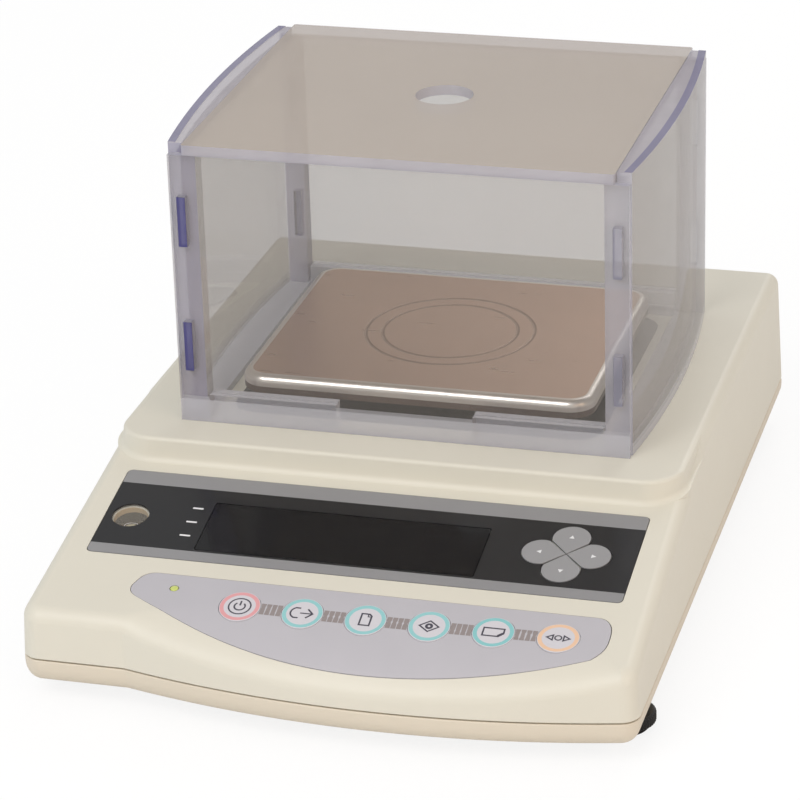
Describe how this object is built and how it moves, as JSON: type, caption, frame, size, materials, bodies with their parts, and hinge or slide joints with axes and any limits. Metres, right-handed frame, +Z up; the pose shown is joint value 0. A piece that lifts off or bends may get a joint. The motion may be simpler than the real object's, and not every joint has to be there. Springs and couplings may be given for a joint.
{
  "type": "mass comparator balance",
  "caption": "Bench mass comparator balance with a square weighing pan under a clear lift-off wind shield, a sloping display and key console, and levelling feet.",
  "frame": {"origin": "on the bench, below the middle of the overall length and width", "axes": "+X to the right as the user faces it, +Y to the back, +Z up"},
  "size_m": [0.2324, 0.3244, 0.1781],
  "materials": {
    "casing": "fine-grained warm white moulded plastic",
    "tray": "warm cream moulded plastic",
    "dark_panel": "dark grey film with lighter bands",
    "dark_glass": "smoked clear window",
    "key_panel": "lilac grey film",
    "cursor_keys": "mid grey key",
    "key_film": "pale key with a coloured ring",
    "lamp": "yellow-green lamp lens",
    "clear_acrylic": "clear acrylic with bluish edges",
    "lid_acrylic": "clear acrylic, slightly smoked",
    "pan_steel": "fine satin stainless steel",
    "black_plastic": "black moulded plastic",
    "foot_plastic": "black knurled plastic",
    "rubber": "black rubber",
    "cast_metal": "bare cast aluminium",
    "spring_metal": "bare spring alloy",
    "circuit_board": "green circuit board",
    "screw_metal": "plated steel",
    "tube_glass": "dark display glass",
    "vial_glass": "tinted level fluid in glass"
  },
  "bodies": {
    "balance": {"upper_cover": "casing", "lower_tray": "tray", "level_vial": "vial_glass", "display_panel": "dark_panel", "display_window": "dark_glass", "display_tube": "tube_glass", "display_board": "circuit_board", "level_window": "dark_glass", "status_lamp": "lamp", "key_board": "circuit_board", "key_panel": "key_panel", "chamber_floor": "black_plastic", "cover_screw_1": "screw_metal", "cover_screw_2": "screw_metal", "cover_screw_3": "screw_metal", "cover_screw_4": "screw_metal", "base_plate": "cast_metal", "weigh_frame": "cast_metal", "guide_plate_lower": "spring_metal", "guide_plate_upper": "spring_metal", "lever_pivot_pin": "screw_metal", "tuning_fork": "spring_metal", "overload_stop_screw": "screw_metal", "sensor_board": "circuit_board", "main_board": "circuit_board", "serial_socket": "screw_metal", "power_jack": "black_plastic"},
    "pan_support": {"load_carrier": "cast_metal", "lever_link": "spring_metal", "pan_spider": "cast_metal", "pan_cushion_1": "rubber", "pan_cushion_2": "rubber", "pan_cushion_3": "rubber", "pan_cushion_4": "rubber"},
    "lever": {"load_lever": "cast_metal"},
    "pan": {"weighing_pan": "pan_steel"},
    "wind_shield": {"shield_front": "clear_acrylic", "shield_rear": "clear_acrylic", "shield_left": "clear_acrylic", "shield_right": "clear_acrylic"},
    "lid": {"shield_lid": "lid_acrylic"},
    "function_key_1_body": {"function_key_1": "key_film"},
    "function_key_2_body": {"function_key_2": "key_film"},
    "function_key_3_body": {"function_key_3": "key_film"},
    "function_key_4_body": {"function_key_4": "key_film"},
    "function_key_5_body": {"function_key_5": "key_film"},
    "function_key_6_body": {"function_key_6": "key_film"},
    "cursor_key_right_body": {"cursor_key_right": "cursor_keys"},
    "cursor_key_up_body": {"cursor_key_up": "cursor_keys"},
    "cursor_key_left_body": {"cursor_key_left": "cursor_keys"},
    "cursor_key_down_body": {"cursor_key_down": "cursor_keys"},
    "foot_pad_1_body": {"foot_pad_1": "rubber"},
    "foot_pad_2_body": {"foot_pad_2": "rubber"},
    "foot_pad_3_body": {"foot_pad_3": "rubber"},
    "foot_pad_4_body": {"foot_pad_4": "rubber"},
    "foot_wheel_1_body": {"foot_wheel_1": "foot_plastic"},
    "foot_wheel_2_body": {"foot_wheel_2": "foot_plastic"},
    "foot_wheel_3_body": {"foot_wheel_3": "foot_plastic"},
    "foot_wheel_4_body": {"foot_wheel_4": "foot_plastic"}
  },
  "joints": [
    {"name": "shield_lift", "type": "slide", "parent": "balance", "child": "wind_shield", "axis": [0, 0, 1], "range_m": [0, 0.12]},
    {"name": "lid_lift", "type": "slide", "parent": "wind_shield", "child": "lid", "axis": [0, 0, 1], "range_m": [0, 0.06]},
    {"name": "pan_deflect", "type": "slide", "parent": "balance", "child": "pan_support", "axis": [0, 0, 1], "range_m": [-0.0005, 0], "stiffness_N_per_m": 30000, "springref_m": 0.0004},
    {"name": "pan_lift", "type": "slide", "parent": "pan_support", "child": "pan", "axis": [0, 0, 1], "range_m": [0, 0.06]},
    {"name": "lever_tilt", "type": "hinge", "parent": "balance", "child": "lever", "pos_m": [0, 0.0689, 0.039], "axis": [1, 0, 0], "range_deg": [0, 2.3], "stiffness_Nm_per_rad": 0.0001, "springref_deg": -83.48},
    {"name": "function_key_1_press", "type": "slide", "parent": "balance", "child": "function_key_1_body", "axis": [0, 0.2628, -0.9649], "range_m": [0, 0.0005], "stiffness_N_per_m": 800, "springref_m": -0.0005},
    {"name": "function_key_2_press", "type": "slide", "parent": "balance", "child": "function_key_2_body", "axis": [0, 0.2812, -0.9597], "range_m": [0, 0.0005], "stiffness_N_per_m": 800, "springref_m": -0.0005},
    {"name": "function_key_3_press", "type": "slide", "parent": "balance", "child": "function_key_3_body", "axis": [0, 0.2857, -0.9583], "range_m": [0, 0.0005], "stiffness_N_per_m": 800, "springref_m": -0.0005},
    {"name": "function_key_4_press", "type": "slide", "parent": "balance", "child": "function_key_4_body", "axis": [0, 0.2817, -0.9595], "range_m": [0, 0.0005], "stiffness_N_per_m": 800, "springref_m": -0.0005},
    {"name": "function_key_5_press", "type": "slide", "parent": "balance", "child": "function_key_5_body", "axis": [0, 0.2665, -0.9638], "range_m": [0, 0.0005], "stiffness_N_per_m": 800, "springref_m": -0.0005},
    {"name": "function_key_6_press", "type": "slide", "parent": "balance", "child": "function_key_6_body", "axis": [0, 0.2169, -0.9762], "range_m": [0, 0.0005], "stiffness_N_per_m": 800, "springref_m": -0.0005},
    {"name": "cursor_key_right_press", "type": "slide", "parent": "balance", "child": "cursor_key_right_body", "axis": [0, 0.1925, -0.9813], "range_m": [0, 0.0005], "stiffness_N_per_m": 800, "springref_m": -0.0005},
    {"name": "cursor_key_up_press", "type": "slide", "parent": "balance", "child": "cursor_key_up_body", "axis": [0, 0.1925, -0.9813], "range_m": [0, 0.0005], "stiffness_N_per_m": 800, "springref_m": -0.0005},
    {"name": "cursor_key_left_press", "type": "slide", "parent": "balance", "child": "cursor_key_left_body", "axis": [0, 0.1925, -0.9813], "range_m": [0, 0.0005], "stiffness_N_per_m": 800, "springref_m": -0.0005},
    {"name": "cursor_key_down_press", "type": "slide", "parent": "balance", "child": "cursor_key_down_body", "axis": [0, 0.1925, -0.9813], "range_m": [0, 0.0005], "stiffness_N_per_m": 800, "springref_m": -0.0005},
    {"name": "foot_extend_1", "type": "slide", "parent": "balance", "child": "foot_pad_1_body", "axis": [0, 0, -1], "range_m": [0, 0.006]},
    {"name": "foot_turn_1", "type": "hinge", "parent": "foot_pad_1_body", "child": "foot_wheel_1_body", "pos_m": [-0.1056, -0.1211, 0.0045], "axis": [0, 0, 1], "range_deg": [0, 1728]},
    {"name": "foot_extend_2", "type": "slide", "parent": "balance", "child": "foot_pad_2_body", "axis": [0, 0, -1], "range_m": [0, 0.006]},
    {"name": "foot_turn_2", "type": "hinge", "parent": "foot_pad_2_body", "child": "foot_wheel_2_body", "pos_m": [0.1056, -0.1211, 0.0045], "axis": [0, 0, 1], "range_deg": [0, 1728]},
    {"name": "foot_extend_3", "type": "slide", "parent": "balance", "child": "foot_pad_3_body", "axis": [0, 0, -1], "range_m": [0, 0.006]},
    {"name": "foot_turn_3", "type": "hinge", "parent": "foot_pad_3_body", "child": "foot_wheel_3_body", "pos_m": [-0.0965, 0.1282, 0.0045], "axis": [0, 0, 1], "range_deg": [0, 1728]},
    {"name": "foot_extend_4", "type": "slide", "parent": "balance", "child": "foot_pad_4_body", "axis": [0, 0, -1], "range_m": [0, 0.006]},
    {"name": "foot_turn_4", "type": "hinge", "parent": "foot_pad_4_body", "child": "foot_wheel_4_body", "pos_m": [0.0965, 0.1282, 0.0045], "axis": [0, 0, 1], "range_deg": [0, 1728]}
  ],
  "couplings": [
    {"joint": "lever_tilt", "follows": "pan_deflect", "rad_per_m": -71.429},
    {"joint": "foot_extend_1", "follows": "foot_turn_1", "m_per_rad": 0.00019894},
    {"joint": "foot_extend_2", "follows": "foot_turn_2", "m_per_rad": 0.00019894},
    {"joint": "foot_extend_3", "follows": "foot_turn_3", "m_per_rad": 0.00019894},
    {"joint": "foot_extend_4", "follows": "foot_turn_4", "m_per_rad": 0.00019894}
  ]
}
